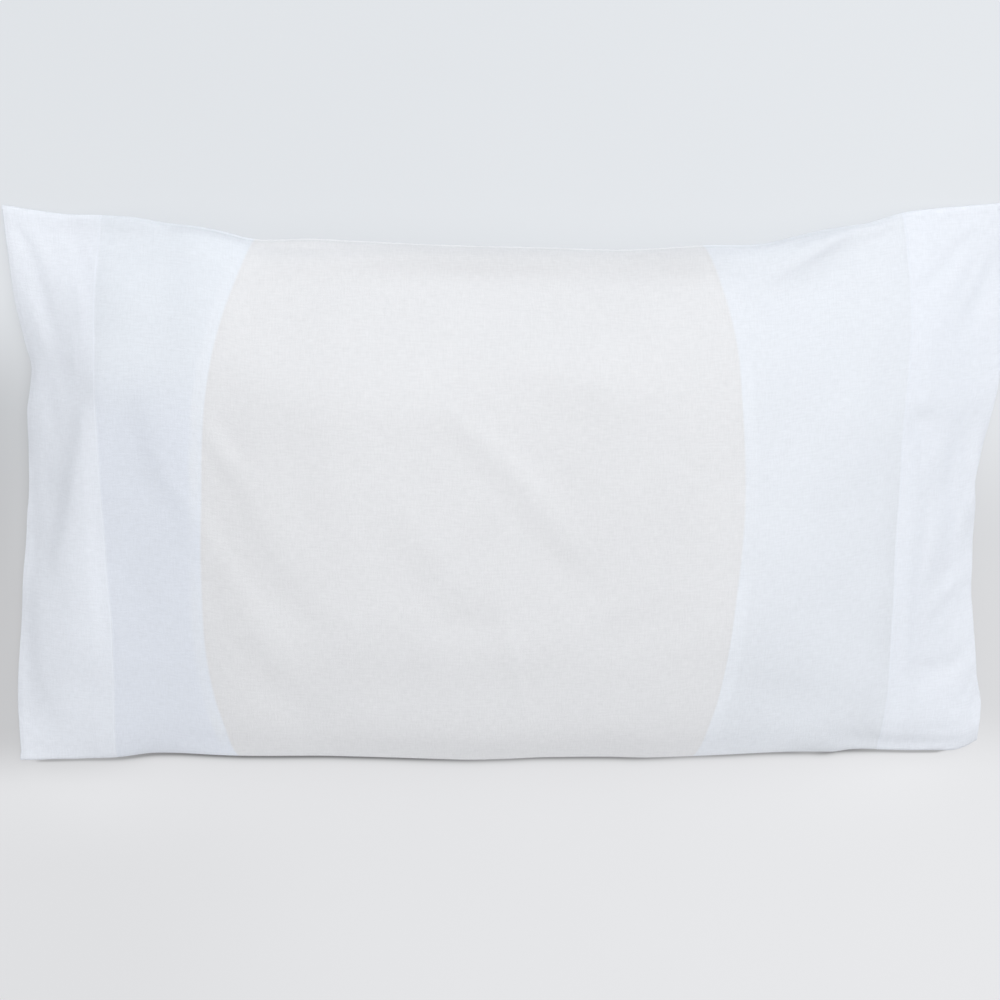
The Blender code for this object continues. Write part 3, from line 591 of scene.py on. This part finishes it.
def make_case(finish):
    stops, outer, thickness, share, is_upper, past_hem = cloth_points()
    normal = ring_normals(outer)
    inner = outer - normal * thickness[..., None]
    rings, around = outer.shape[:2]
    number = np.arange(rings * around).reshape(rings, around)
    points = [outer.reshape(-1, 3), inner.reshape(-1, 3)]
    inside = number + rings * around
    faces = [strip(number[k], number[k + 1]) for k in range(rings - 1)]
    faces += [strip(inside[k], inside[k + 1], True) for k in range(rings - 1)]
    # a rounded rim at each mouth
    count, rims = 2 * rings * around, []
    for ring, out in ((0, -1.0), (rings - 1, 1.0)):
        a, b = outer[ring], inner[ring]
        away = np.array([out, 0.0, 0.0])
        middle = (a + b) / 2.0 + away * thickness[ring][:, None] * 0.5
        soft_a = a * 0.78 + b * 0.22 + away * thickness[ring][:, None] * 0.36
        soft_b = a * 0.22 + b * 0.78 + away * thickness[ring][:, None] * 0.36
        rows = [number[ring]]
        for extra in (soft_a, middle, soft_b):
            rows.append(np.arange(count, count + around))
            points.append(extra)
            count += around
            rims.append(ring)
        rows.append(inside[ring])
        for p, q in zip(rows[:-1], rows[1:]):
            faces.append(strip(p, q, ring == 0))
    points, faces = np.concatenate(points), np.concatenate(faces)
    case = add_mesh("case_cloth", points, faces, finish)

    def spread(values):
        """Values for the outside, repeated for the inside and the rims."""
        values = np.broadcast_to(values, (rings, around))
        return np.concatenate((values.ravel(), values.ravel(), *[values[r] for r in rims]))

    s = np.broadcast_to(stops[:, None], (rings, around))
    q = np.where(is_upper[None], share * CASE_WIDTH, 2.0 * CASE_WIDTH - share * CASE_WIDTH)
    store(case, "flat_u", spread(s))
    store(case, "flat_v", spread(q))
    x, y = outer[..., 0], outer[..., 1]
    store(case, "field", spread(field_distance(x, y) / MM))
    store(case, "past_hem", spread(past_hem / MM))
    store(case, "from_seam", spread((1.0 - share) * CASE_WIDTH / MM))
    store(case, "rim_strength", spread(rim_strength(x, y) * np.where(is_upper[None], 1.0, 0.5)))
    case.data.uv_layers.new(name="UVMap")
    loops = np.empty(len(case.data.loops), np.int32)
    case.data.loops.foreach_get("vertex_index", loops)
    uv = np.stack((spread(s), spread(q)), -1)[loops]
    case.data.uv_layers["UVMap"].data.foreach_set("uv", uv.astype(np.float32).ravel())
    return case, (stops, outer, normal, share, is_upper)


# ---- the pillow inside -------------------------------------------------------------------------
def end_reach(side, y):
    end = PILLOW_ENDS[side]
    fall = end["bow"] * (np.abs(y / MM - end["mid_y"]) / end["reach_y"]) ** end["power"]
    return (end["end_x"] - np.sign(end["end_x"]) * fall) * MM


def make_pillow(finish, shift_x):
    """A ball squared off towards a box and filled out to just inside the case, with a corded seam round it."""
    rings, sides = 72, 96
    lat = np.linspace(0.0, np.pi, rings + 1)[1:-1]
    lon = np.linspace(0.0, 2 * np.pi, sides, endpoint=False)
    axial = np.concatenate(([1.0], np.repeat(np.cos(lat), sides), [-1.0]))
    round_y = np.concatenate(([0.0], (np.sin(lat)[:, None] * np.cos(lon)[None]).ravel(), [0.0]))
    round_z = np.concatenate(([0.0], (np.sin(lat)[:, None] * np.sin(lon)[None]).ravel(), [0.0]))
    radius = np.hypot(round_y, round_z)
    reach = np.sign(axial) * np.abs(axial) ** END_SQUARENESS
    size = np.clip(radius, 0, 1) ** END_SQUARENESS
    spread = np.clip(radius, 0, 1) ** CORNER_SQUARENESS
    across = np.where(radius > 1e-6, round_y / np.maximum(radius, 1e-6), 0.0)
    across = np.sign(across) * np.abs(across) ** 0.9
    inset = PILLOW_GAP
    x = (end_reach("right", 0.0) - end_reach("left", 0.0)) / 2 * reach + (end_reach("right", 0.0) + end_reach("left", 0.0)) / 2
    for _ in range(4):
        low_y, high_y = column(LOW_Y, x) + inset, column(HIGH_Y, x) - inset
        y_edge = (low_y + high_y) / 2 + across * (high_y - low_y) / 2
        y = (low_y + high_y) / 2 + spread * (y_edge - (low_y + high_y) / 2)
        left, right = end_reach("left", y), end_reach("right", y)
        x = (right + left) / 2 + reach * (right - left) / 2
    dip = np.minimum(2.0 * MM, crease_relief(x - shift_x, y))
    top = layer_height(x, across, True) - inset + dip
    bottom = layer_height(x, across, False) + PILLOW_LIFT
    middle = (column(CROWN_Z, x) - inset + PILLOW_LIFT) / 2
    edge = np.where(round_z >= 0, top, bottom)
    side_on = np.abs(across) > 0.999
    edge = np.where(side_on, column(EDGE_Z, x), edge)
    middle = np.where(side_on, column(EDGE_Z, x), middle)
    z = middle + size * (edge - middle)
    points = np.stack((x - shift_x, y, z), -1)
    cord = np.exp(-((np.arcsin(np.clip(round_z / np.maximum(radius, 1e-6), -1, 1)) / 0.05) ** 2))
    points[:, 0] += 0.0018 * cord * np.sign(axial) * smooth(0.5, 0.9, np.abs(axial))
    rows = np.arange(1, 1 + (rings - 1) * sides).reshape(rings - 1, sides)
    faces = [strip(rows[k], rows[k + 1], False) for k in range(rings - 2)]
    quads = np.concatenate(faces)
    caps = [(0, int(rows[0][k]), int(rows[0][(k + 1) % sides])) for k in range(sides)]
    last = len(points) - 1
    caps += [(last, int(rows[-1][(k + 1) % sides]), int(rows[-1][k])) for k in range(sides)]
    pillow = add_mesh("pillow_inside", points, [tuple(q) for q in quads[:, ::-1]] + caps, finish)
    return pillow


# ---- the hem stitches --------------------------------------------------------------------------
def make_stitches(finish, lie, side):
    """One row of lockstitches round a hem, each a short bead of thread lying in its groove."""
    stops, outer, normal, share, is_upper = lie
    at = (CASE_LENGTH / 2.0 - HEM_DEPTH + 1.6 * MM) * side
    k = int(np.argmin(np.abs(stops - at)))
    ring, up = outer[k], normal[k]
    closed = np.concatenate((ring, ring[:1]))
    ups = np.concatenate((up, up[:1]))
    length = np.concatenate(([0.0], np.cumsum(np.linalg.norm(np.diff(closed, axis=0), axis=1))))
    count = int(length[-1] / STITCH_PITCH)
    pitch = length[-1] / count
    centres = (np.arange(count) + 0.5) * pitch
    half, radius, sides, hoops = 0.42 * pitch, 0.19 * MM, 6, 5
    points, faces, base = [], [], 0

    def at_length(values, d):
        return np.array([np.interp(d, length, values[:, i]) for i in range(3)]).T

    turn = np.linspace(0, 2 * np.pi, sides, endpoint=False)
    for centre in centres:
        run = np.linspace(-1, 1, hoops) * half
        mid = at_length(closed, centre + run)
        lift = at_length(ups, centre + run)
        lift /= np.linalg.norm(lift, axis=1, keepdims=True)
        way = np.gradient(mid, axis=0)
        way /= np.linalg.norm(way, axis=1, keepdims=True)
        across = np.cross(lift, way)
        swell = np.array([0.45, 0.92, 1.0, 0.92, 0.45]) * radius
        mid = mid + lift * (np.array([-0.10, 0.08, 0.12, 0.08, -0.10]) * MM)[:, None]
        hoop = mid[:, None] + swell[:, None, None] * (
            np.cos(turn)[None, :, None] * lift[:, None] + np.sin(turn)[None, :, None] * across[:, None]
        )
        points.append(hoop.reshape(-1, 3))
        rows = base + np.arange(hoops * sides).reshape(hoops, sides)
        for p, q in zip(rows[:-1], rows[1:]):
            faces += [tuple(f) for f in strip(p, q, True)]
        faces.append(tuple(rows[0][::-1]))
        faces.append(tuple(rows[-1]))
        base += hoops * sides
    name = "hem_stitches_left" if side < 0 else "hem_stitches_right"
    return add_mesh(name, np.concatenate(points), faces, finish)


# ---- materials ---------------------------------------------------------------------------------
class Shader:
    """A small helper to write a node tree as sums."""

    def __init__(self, name):
        self.material = bpy.data.materials.new(name)
        self.material.use_nodes = True
        self.tree = self.material.node_tree
        self.principled = self.tree.nodes["Principled BSDF"]

    def node(self, kind, **settings):
        made = self.tree.nodes.new(kind)
        for key, value in settings.items():
            setattr(made, key, value)
        return made

    def feed(self, socket, value):
        if isinstance(value, bpy.types.NodeSocket):
            self.tree.links.new(value, socket)
        else:
            socket.default_value = value

    def math(self, operation, a, b=0.0, c=None, clamp=False):
        made = self.node("ShaderNodeMath", operation=operation, use_clamp=clamp)
        self.feed(made.inputs[0], a)
        self.feed(made.inputs[1], b)
        if c is not None:
            self.feed(made.inputs[2], c)
        return made.outputs[0]

    def ramp(self, value, low, high, to_low=0.0, to_high=1.0):
        made = self.node("ShaderNodeMapRange", interpolation_type="SMOOTHSTEP")
        for index, item in enumerate((value, low, high, to_low, to_high)):
            self.feed(made.inputs[index], item)
        return made.outputs[0]

    def mix(self, share, a, b):
        made = self.node("ShaderNodeMix", data_type="RGBA", blend_type="MIX")
        self.feed(made.inputs[0], share)
        self.feed(made.inputs[6], (*a, 1.0) if isinstance(a, tuple) else a)
        self.feed(made.inputs[7], (*b, 1.0) if isinstance(b, tuple) else b)
        return made.outputs[2]

    def scale(self, colour, value):
        made = self.node("ShaderNodeMix", data_type="RGBA", blend_type="MULTIPLY")
        made.inputs[0].default_value = 1.0
        grey = self.node("ShaderNodeCombineColor")
        for channel in range(3):
            self.feed(grey.inputs[channel], value)
        self.feed(made.inputs[6], colour)
        self.feed(made.inputs[7], grey.outputs[0])
        return made.outputs[2]

    def attribute(self, name):
        made = self.node("ShaderNodeAttribute", attribute_name=name)
        return made.outputs["Fac"]

    def vector(self, x, y, z=0.0):
        made = self.node("ShaderNodeCombineXYZ")
        for index, value in enumerate((x, y, z)):
            self.feed(made.inputs[index], value)
        return made.outputs[0]

    def noise(self, vector, scale=1.0, detail=1.0, rough=0.5):
        made = self.node("ShaderNodeTexNoise", noise_dimensions="3D")
        self.feed(made.inputs["Vector"], vector)
        made.inputs["Scale"].default_value = scale
        made.inputs["Detail"].default_value = detail
        made.inputs["Roughness"].default_value = rough
        return made.outputs[0]

    def bump(self, height, distance, strength=1.0, normal=None):
        made = self.node("ShaderNodeBump")
        made.inputs["Strength"].default_value = strength
        made.inputs["Distance"].default_value = distance
        self.feed(made.inputs["Height"], height)
        if normal is not None:
            self.feed(made.inputs["Normal"], normal)
        return made.outputs[0]


def weave(shader, u, v, pitch):
    """Plain weave: thread heights, and two sets of slubs that run with the threads.  u and v are in metres."""
    along_u = shader.math("SINE", shader.math("MULTIPLY", u, 2 * np.pi / pitch))
    along_v = shader.math("SINE", shader.math("MULTIPLY", v, 2 * np.pi / pitch))
    over = shader.math("MULTIPLY", along_u, along_v)
    slub_u = shader.noise(shader.vector(shader.math("MULTIPLY", u, 105.0), shader.math("MULTIPLY", v, 640.0)), 1.0, 1.5, 0.6)
    slub_v = shader.noise(shader.vector(shader.math("MULTIPLY", u, 700.0), shader.math("MULTIPLY", v, 115.0), 7.0), 1.0, 1.5, 0.6)
    return over, slub_u, slub_v


# colours of the cotton: over the pillow, over the hollow ends, beside the pillow's seam, and at the hems
WARM = (0.795, 0.795, 0.808)
SIDE = (0.799, 0.831, 0.898)
SIDE_TOP = (0.797, 0.828, 0.875)
SIDE_RIGHT = (0.800, 0.825, 0.869)
RIM = (0.823, 0.850, 0.896)
HEM = (0.818, 0.844, 0.897)


def cotton():
    """White cotton: warm where the pillow shows through it, cooler over the hollow ends, whitest at the hems, with
    painted light and painted shade at many of its folds and edges.
    """
    s = Shader("white cotton")
    u, v = s.attribute("flat_u"), s.attribute("flat_v")
    field, past_hem = s.attribute("field"), s.attribute("past_hem")
    over, slub_u, slub_v = weave(s, u, v, 0.00046)

    outside = s.ramp(field, -1.7, 1.5)
    colour = s.mix(outside, WARM, s.mix(s.ramp(u, -0.1, 0.1), s.mix(s.ramp(v, 0.30, 0.38), SIDE, SIDE_TOP), SIDE_RIGHT))
    rim = s.math("MULTIPLY", s.math("MULTIPLY", outside, s.ramp(field, 6.5, 13.5, 1.0, 0.0)), s.attribute("rim_strength"))
    colour = s.mix(rim, colour, RIM)
    colour = s.mix(s.ramp(past_hem, -0.5, 0.8), colour, HEM)
    turned = s.math("MULTIPLY", s.ramp(past_hem, 0.3, 1.2), s.ramp(past_hem, TURN_IN / MM - 0.8, TURN_IN / MM + 0.8, 1.0, 0.0))
    shade = s.math("MULTIPLY_ADD", turned, 0.006, 1.0)
    # painted shade at one end, where the cloth falls away towards the hem and rises again past its stitching
    painted_fall_shade = s.math("MULTIPLY", s.ramp(past_hem, -27.0, -1.5), s.ramp(past_hem, -1.2, 0.2, 1.0, 0.0))
    painted_fall_shade = s.math("MULTIPLY", s.math("MULTIPLY", painted_fall_shade, s.ramp(u, 0.1, 0.2)), s.math("MULTIPLY", s.ramp(v, 0.060, 0.120), s.ramp(v, 0.240, 0.310, 1.0, 0.0)))
    shade = s.math("MULTIPLY_ADD", painted_fall_shade, -0.032, shade)
    # painted light on each hem's inner strip, strongest towards the folded edge
    painted_strip_light = s.math("MULTIPLY", s.ramp(past_hem, 0.3, 1.2), s.ramp(past_hem, 8.0, 27.0, 1.0, 0.0))
    shade = s.math("MULTIPLY_ADD", painted_strip_light, s.ramp(v, 0.20, 0.31, 0.014, 0.0), shade)
    # painted shade in a thin line just before each hem's stitching
    beside = s.math("MULTIPLY", s.ramp(past_hem, -2.2, -1.0), s.ramp(past_hem, -0.6, 0.1, 1.0, 0.0))
    shade = s.math("MULTIPLY_ADD", beside, -0.013, shade)
    # along the seamed edge a brighter line, strongest over the pillow, partly the seam's folded layers and partly a
    # painted highlight; behind it a painted shadow band, as the lip would cast
    from_seam = s.attribute("from_seam")
    over_pillow = s.math("MULTIPLY", s.ramp(u, -0.275, -0.215), s.ramp(u, 0.170, 0.260, 1.0, 0.0))
    lip = s.math("MULTIPLY", s.ramp(from_seam, 4.5, 7.0, 1.0, 0.0), s.math("MULTIPLY_ADD", over_pillow, 0.090, 0.030))
    shade = s.math("ADD", shade, lip)
    behind = s.math("MULTIPLY", s.ramp(from_seam, 9.0, 20.0), s.ramp(from_seam, 30.0, 58.0, 1.0, 0.0))
    lip_shadow = s.math("MULTIPLY", s.math("MULTIPLY", s.ramp(u, -0.200, -0.050), s.ramp(u, 0.160, 0.245, 1.0, 0.0)), behind)
    shade = s.math("MULTIPLY_ADD", lip_shadow, -0.058, shade)
    # along the other edge, painted light on the fold, where the cloth turns under and away from the light
    fold_span = s.math("MULTIPLY", s.ramp(u, -0.325, -0.240), s.ramp(u, 0.220, 0.290, 1.0, 0.0))
    shade = s.math("MULTIPLY_ADD", s.math("MULTIPLY", fold_span, s.ramp(v, 0.0, 0.042, 1.0, 0.0)), 0.195, shade)
    # painted shade at one hem's lower corner
    shade = s.math("MULTIPLY_ADD", s.math("MULTIPLY", s.ramp(u, -0.440, -0.385, 1.0, 0.0), s.ramp(v, 0.060, 0.135, 1.0, 0.0)), -0.042, shade)
    # and painted shade along that hem's very edge, most of all over its upper half
    apart = s.math("ADD", s.ramp(v, 0.218, 0.236, 1.0, 0.0), s.ramp(v, 0.260, 0.284))
    shade = s.math("MULTIPLY_ADD", s.math("MULTIPLY", s.ramp(u, -0.4478, -0.4440, 1.0, 0.0), apart), -0.042, shade)
    dim = s.math("MULTIPLY", s.ramp(v, 0.264, 0.296), s.ramp(v, 0.415, 0.450, 1.0, 0.0))
    shade = s.math("MULTIPLY_ADD", s.math("MULTIPLY", s.ramp(u, -0.4465, -0.4390, 1.0, 0.0), dim), -0.045, shade)
    # at the other hem's lower corner, painted shade on the fold itself, with a painted highlight line above it
    fold = s.math("MULTIPLY_ADD", s.math("MULTIPLY", s.ramp(v, 0.011, 0.018), s.ramp(v, 0.021, 0.031, 1.0, 0.0)), 0.038, s.ramp(v, 0.003, 0.012, -0.085, 0.0))
    shade = s.math("MULTIPLY_ADD", fold, s.ramp(u, 0.392, 0.412), shade)
    # painted shade in a band just above the fold
    under = s.math("MULTIPLY", s.ramp(v, 0.040, 0.070), s.ramp(v, 0.120, 0.185, 1.0, 0.0))
    shade = s.math("MULTIPLY_ADD", s.math("MULTIPLY", fold_span, under), -0.013, shade)
    # painted light on the slack cloth at one corner, and painted shade at another
    painted_corner_light = s.math("MULTIPLY", s.ramp(u, -0.255, -0.175, 1.0, 0.0), s.ramp(v, 0.335, 0.385))
    painted_corner_light = s.math("MULTIPLY", painted_corner_light, s.ramp(from_seam, 6.0, 34.0))
    shade = s.math("MULTIPLY_ADD", painted_corner_light, 0.036, shade)
    # behind the lip, over the pillow's corner, a painted shadow line in the edge's groove
    hollow = s.math("MULTIPLY", s.ramp(from_seam, 5.0, 7.5), s.ramp(from_seam, 12.0, 19.0, 1.0, 0.0))
    hollow = s.math("MULTIPLY", hollow, s.math("MULTIPLY", s.ramp(u, -0.305, -0.282), s.ramp(u, -0.232, -0.205, 1.0, 0.0)))
    shade = s.math("MULTIPLY_ADD", hollow, -0.060, shade)
    # the painted shade at the other corner, low on the right side
    painted_corner_shade = s.math("MULTIPLY", s.ramp(u, 0.185, 0.215), s.ramp(v, 0.120, 0.250, 1.0, 0.0))
    shade = s.math("MULTIPLY_ADD", painted_corner_shade, -0.020, shade)
    # painted shade over the right hem, deeper near its mouth
    right_hem_shade = s.math("MULTIPLY", s.ramp(u, 0.372, 0.382), s.ramp(v, 0.300, 0.350, 1.0, 0.0))
    near_mouth = s.math("MULTIPLY", s.ramp(past_hem, 62.0, 84.0), s.ramp(v, 0.140, 0.200))
    shade = s.math("MULTIPLY_ADD", right_hem_shade, s.math("MULTIPLY_ADD", near_mouth, -0.026, -0.010), shade)
    # the pillow's own edge shades the cloth just inside its rim
    inside = s.math("MULTIPLY", s.ramp(field, -6.0, -1.6), s.ramp(field, -1.2, 0.2, 1.0, 0.0))
    shade = s.math("MULTIPLY_ADD", inside, -0.012, shade)
    # slubs and thread-to-thread differences
    uneven = s.math("SUBTRACT", s.math("ADD", slub_u, slub_v), 1.0)
    shade = s.math("MULTIPLY_ADD", uneven, 0.108, shade)
    mottled = s.noise(s.vector(u, v), 140.0, 2.0, 0.55)
    shade = s.math("MULTIPLY_ADD", s.math("SUBTRACT", mottled, 0.5), 0.026, shade)
    cloudy = s.noise(s.vector(u, v), 22.0, 3.0, 0.55)
    shade = s.math("MULTIPLY_ADD", s.math("SUBTRACT", cloudy, 0.5), 0.016, shade)
    colour = s.scale(colour, shade)
    s.feed(s.principled.inputs["Base Color"], colour)
    s.principled.inputs["Roughness"].default_value = 0.58
    s.principled.inputs["Specular IOR Level"].default_value = 0.45
    s.principled.inputs["Sheen Weight"].default_value = 0.10
    s.principled.inputs["Sheen Roughness"].default_value = 0.45
    threads = s.bump(over, 0.00005, 0.6)
    slubs = s.bump(s.math("ADD", slub_u, slub_v), 0.00012, 0.8, threads)
    s.feed(s.principled.inputs["Normal"], slubs)
    return s.material


def ticking():
    s = Shader("natural ticking")
    place = s.node("ShaderNodeTexCoord").outputs["Object"]
    split = s.node("ShaderNodeSeparateXYZ")
    s.feed(split.inputs[0], place)
    over, slub_u, slub_v = weave(s, split.outputs[0], split.outputs[1], 0.0008)
    uneven = s.math("SUBTRACT", s.math("ADD", slub_u, slub_v), 1.0)
    cloudy = s.noise(place, 25.0, 3.0, 0.55)
    shade = s.math("MULTIPLY_ADD", uneven, 0.06, s.math("MULTIPLY_ADD", s.math("SUBTRACT", cloudy, 0.5), 0.05, 1.0))
    s.feed(s.principled.inputs["Base Color"], s.scale((0.80, 0.775, 0.73, 1.0), shade))
    s.principled.inputs["Roughness"].default_value = 0.95
    s.principled.inputs["Specular IOR Level"].default_value = 0.2
    s.feed(s.principled.inputs["Normal"], s.bump(over, 0.0001, 0.7))
    return s.material


def thread():
    s = Shader("white thread")
    place = s.node("ShaderNodeTexCoord").outputs["Object"]
    wave = s.node("ShaderNodeTexWave", wave_type="BANDS", bands_direction="DIAGONAL")
    s.feed(wave.inputs["Vector"], place)
    wave.inputs["Scale"].default_value = 2600.0
    shade = s.math("MULTIPLY_ADD", wave.outputs["Fac"], 0.05, 0.95)
    s.feed(s.principled.inputs["Base Color"], s.scale((0.84, 0.88, 0.94, 1.0), shade))
    s.principled.inputs["Roughness"].default_value = 0.6
    s.principled.inputs["Specular IOR Level"].default_value = 0.3
    s.feed(s.principled.inputs["Normal"], s.bump(wave.outputs["Fac"], 0.00003, 0.6))
    return s.material


def floor_finish():
    """A pale sweep that glows a little, so that only soft shade falls on it; its shade attribute paints shadow and
    light into both its colour and its glow.
    """
    s = Shader("pale floor")
    place = s.node("ShaderNodeTexCoord").outputs["Object"]
    grain = s.noise(place, 6.0, 3.0, 0.5)
    split = s.node("ShaderNodeSeparateXYZ")
    s.feed(split.inputs[0], place)
    x, y = split.outputs[0], split.outputs[1]
    # painted light: the floor is a little brighter towards +X
    shade = s.math("MULTIPLY", s.attribute("shade"), s.math("MULTIPLY_ADD", s.ramp(x, -0.6, 0.7), 0.057, 0.960))
    tone = s.mix(s.ramp(y, -0.15, 0.20), (0.980, 0.982, 1.0), (0.948, 0.987, 1.03))
    s.feed(s.principled.inputs["Base Color"], s.scale(s.mix(grain, (0.230, 0.232, 0.236), (0.240, 0.242, 0.246)), shade))
    s.feed(s.principled.inputs["Emission Color"], s.scale(tone, shade))
    s.principled.inputs["Emission Strength"].default_value = 0.565
    s.principled.inputs["Roughness"].default_value = 0.9
    s.principled.inputs["Specular IOR Level"].default_value = 0.1
    return s.material


def floor_shade(x, y):
    """How much of the floor's glow is left, as painted shadow: less beside the two mouths, least along the folded edge,
    with painted light where it evens out real shade.
    """
    # painted shadows on the floor beside the two mouths
    left = smooth(-0.62, -0.50, x) * (1.0 - smooth(-0.415, -0.300, x)) * smooth(-0.288, -0.225, y) * (1.0 - smooth(0.060, 0.185, y))
    left *= 1.0 + 0.09 * np.exp(-(((y + 0.010) / 0.075) ** 2)) - 0.14 * np.exp(-(((x + 0.440) / 0.014) ** 2))
    right = smooth(0.300, 0.405, x) * (1.0 - smooth(0.50, 0.62, x)) * smooth(-0.280, -0.205, y) * (1.0 - smooth(-0.060, 0.090, y))
    # a painted contact shadow along the folded edge, reaching out further where the edge stands higher
    along = x + 0.0026 + 0.014 * smooth(0.25, 0.345, x) + 0.10 * np.maximum(0.0, x - 0.345) - 0.004 * (1.0 - smooth(-0.36, -0.28, x))
    edge_z = column(EDGE_Z, along)
    out = column(LOW_Y, along) - y - (0.0006 + CONTACT_REACH * edge_z)
    fall = 0.0006 + 0.0014 * smooth(0.004, 0.024, edge_z)
    contact = np.exp(-((np.maximum(out, 0.0) / fall) ** 1.1)) * (1.0 - smooth(0.004, 0.020, -out))
    contact *= smooth(-0.438, -0.427, x) * (1.0 - smooth(0.416, 0.431, x)) * (1.0 - 0.14 * smooth(0.09, 0.16, x) * (1.0 - smooth(0.24, 0.30, x)))
    # painted light keeps the floor even right up to the left mouth, against the real shade there
    edge = np.array(MOUTH_EDGES) * MM
    mouth = -(0.4405 + 0.8 * through(edge[:, 0], edge[:, 1], y))
    beside = np.exp(-((np.maximum(0.0, mouth - x) / 0.0075) ** 2)) * smooth(-0.255, -0.225, y) * (1.0 - smooth(0.120, 0.170, y))
    contact *= (1.0 - 0.16 * np.exp(-(((x + 0.025) / 0.045) ** 2))) * (1.0 - 0.18 * (1.0 - smooth(-0.39, -0.33, x)))
    contact *= (0.95 - 0.11 * smooth(-0.08, 0.02, x) * (1.0 - smooth(0.292, 0.304, x)) + 0.10 * np.exp(-(((x - 0.318) / 0.016) ** 2))) * (1.0 - 0.16 * np.exp(-(((x - 0.172) / 0.022) ** 2))) * (1.0 - 0.16 * np.exp(-(((x - 0.282) / 0.012) ** 2)))
    # painted light lifting the floor near the folded edge
    glow = np.exp(-((np.maximum(out, 0.0) / 0.060) ** 2)) * (1.0 - smooth(0.0, 0.05, -out)) * smooth(-0.47, -0.36, x) * (1.0 - smooth(0.36, 0.47, x))
    # painted shade towards one corner of the floor
    corner = smooth(0.10, 0.40, -x) * smooth(0.27, 0.37, -y)
    return (1.0 - 0.26 * left - 0.13 * right + 0.035 * glow) * (1.0 - 0.035 * corner) * (1.0 + 0.022 * beside * (x < 0.0)) * (1.0 - (0.46 + 0.29 * smooth(0.006, 0.040, edge_z)) * contact)


# ---- build -------------------------------------------------------------------------------------
white_cotton, natural_ticking, white_thread = cotton(), ticking(), thread()
case, lie = make_case(white_cotton)
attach(case, "root")
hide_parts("case")

pillow = make_pillow(natural_ticking, 2.56 * MM)
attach(pillow, "root")
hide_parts("inner_pillow")

for side in (-1.0, 1.0):
    row = make_stitches(white_thread, lie, side)
    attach(row, "root")

# ---- floor, light and camera ---------------------------------------------------------------------
FLOOR_REACH = 90.0
CONTACT_REACH = 0.288
floor_x = np.concatenate(([-FLOOR_REACH, -3.0], np.linspace(-0.70, 0.70, 281), [3.0, FLOOR_REACH]))
floor_y = np.concatenate((
    [-FLOOR_REACH, -3.0], np.linspace(-0.60, -0.290, 24), np.linspace(-0.280, -0.236, 67), np.linspace(-0.225, 0.60, 60), [3.0, FLOOR_REACH]
))
grid_x, grid_y = np.meshgrid(floor_x, floor_y)
number = np.arange(grid_x.size).reshape(grid_x.shape)
squares = np.stack((number[:-1, :-1], number[:-1, 1:], number[1:, 1:], number[1:, :-1]), -1).reshape(-1, 4)
floor_mesh = bpy.data.meshes.new("floor")
floor_mesh.from_pydata(np.stack((grid_x, grid_y, np.full(grid_x.shape, -0.0004)), -1).reshape(-1, 3).tolist(), [], squares.tolist())
floor = bpy.data.objects.new("floor", floor_mesh)
bpy.context.scene.collection.objects.link(floor)
floor_mesh.materials.append(floor_finish())
store(floor, "shade", floor_shade(grid_x, grid_y))

scene = bpy.context.scene
world = bpy.data.worlds.new("studio")
scene.world = world
world.use_nodes = True
background = world.node_tree.nodes["Background"]
background.inputs["Color"].default_value = (0.93, 0.965, 1.0, 1.0)
background.inputs["Strength"].default_value = 0.38


def soft_sun(name, toward, strength, spread, colour=(1.0, 1.0, 1.0)):
    """A wide, even light from one direction, as from a large diffuser."""
    light = bpy.data.lights.new(name, "SUN")
    light.energy, light.angle, light.color = strength, np.radians(spread), colour
    made = bpy.data.objects.new(name, light)
    scene.collection.objects.link(made)
    made.rotation_euler = Vector(toward).to_track_quat("Z", "Y").to_euler()
    return made


soft_sun("key", (0.29, 0.62, 0.73), 1.50, 60.0, (0.955, 0.975, 0.995))
soft_sun("overhead", (0.0, 0.0, 1.0), 0.92, 60.0, (0.995, 0.965, 0.940))
soft_sun("low fill", (0.0, -0.93, 0.36), 0.33, 70.0, (0.96, 0.98, 1.0))

# the camera looks down at the face of the case, 8 degrees over from square
CAMERA_TARGET = np.array((-0.007, -0.008, 0.045))
CAMERA_DISTANCE = 1.700
OVER, ROUND = np.radians(8.0), np.radians(-2.0)
back = np.array((np.sin(ROUND) * np.cos(OVER), np.sin(OVER), np.cos(ROUND) * np.cos(OVER)))
right = np.cross(-back, (0.0, 1.0, 0.0))
right /= np.linalg.norm(right)
up = np.cross(right, -back)
camera_data = bpy.data.cameras.new("camera")
camera_data.sensor_fit = "HORIZONTAL"
camera_data.sensor_width = 36.0
camera_data.lens = 68.76
camera = bpy.data.objects.new("camera", camera_data)
scene.collection.objects.link(camera)
place = CAMERA_TARGET + CAMERA_DISTANCE * back
camera.matrix_world = Matrix(((right[0], up[0], back[0], place[0]), (right[1], up[1], back[1], place[1]), (right[2], up[2], back[2], place[2]), (0, 0, 0, 1)))
scene.camera = camera
scene.view_settings.view_transform = "Standard"

bpy.context.view_layer.update()
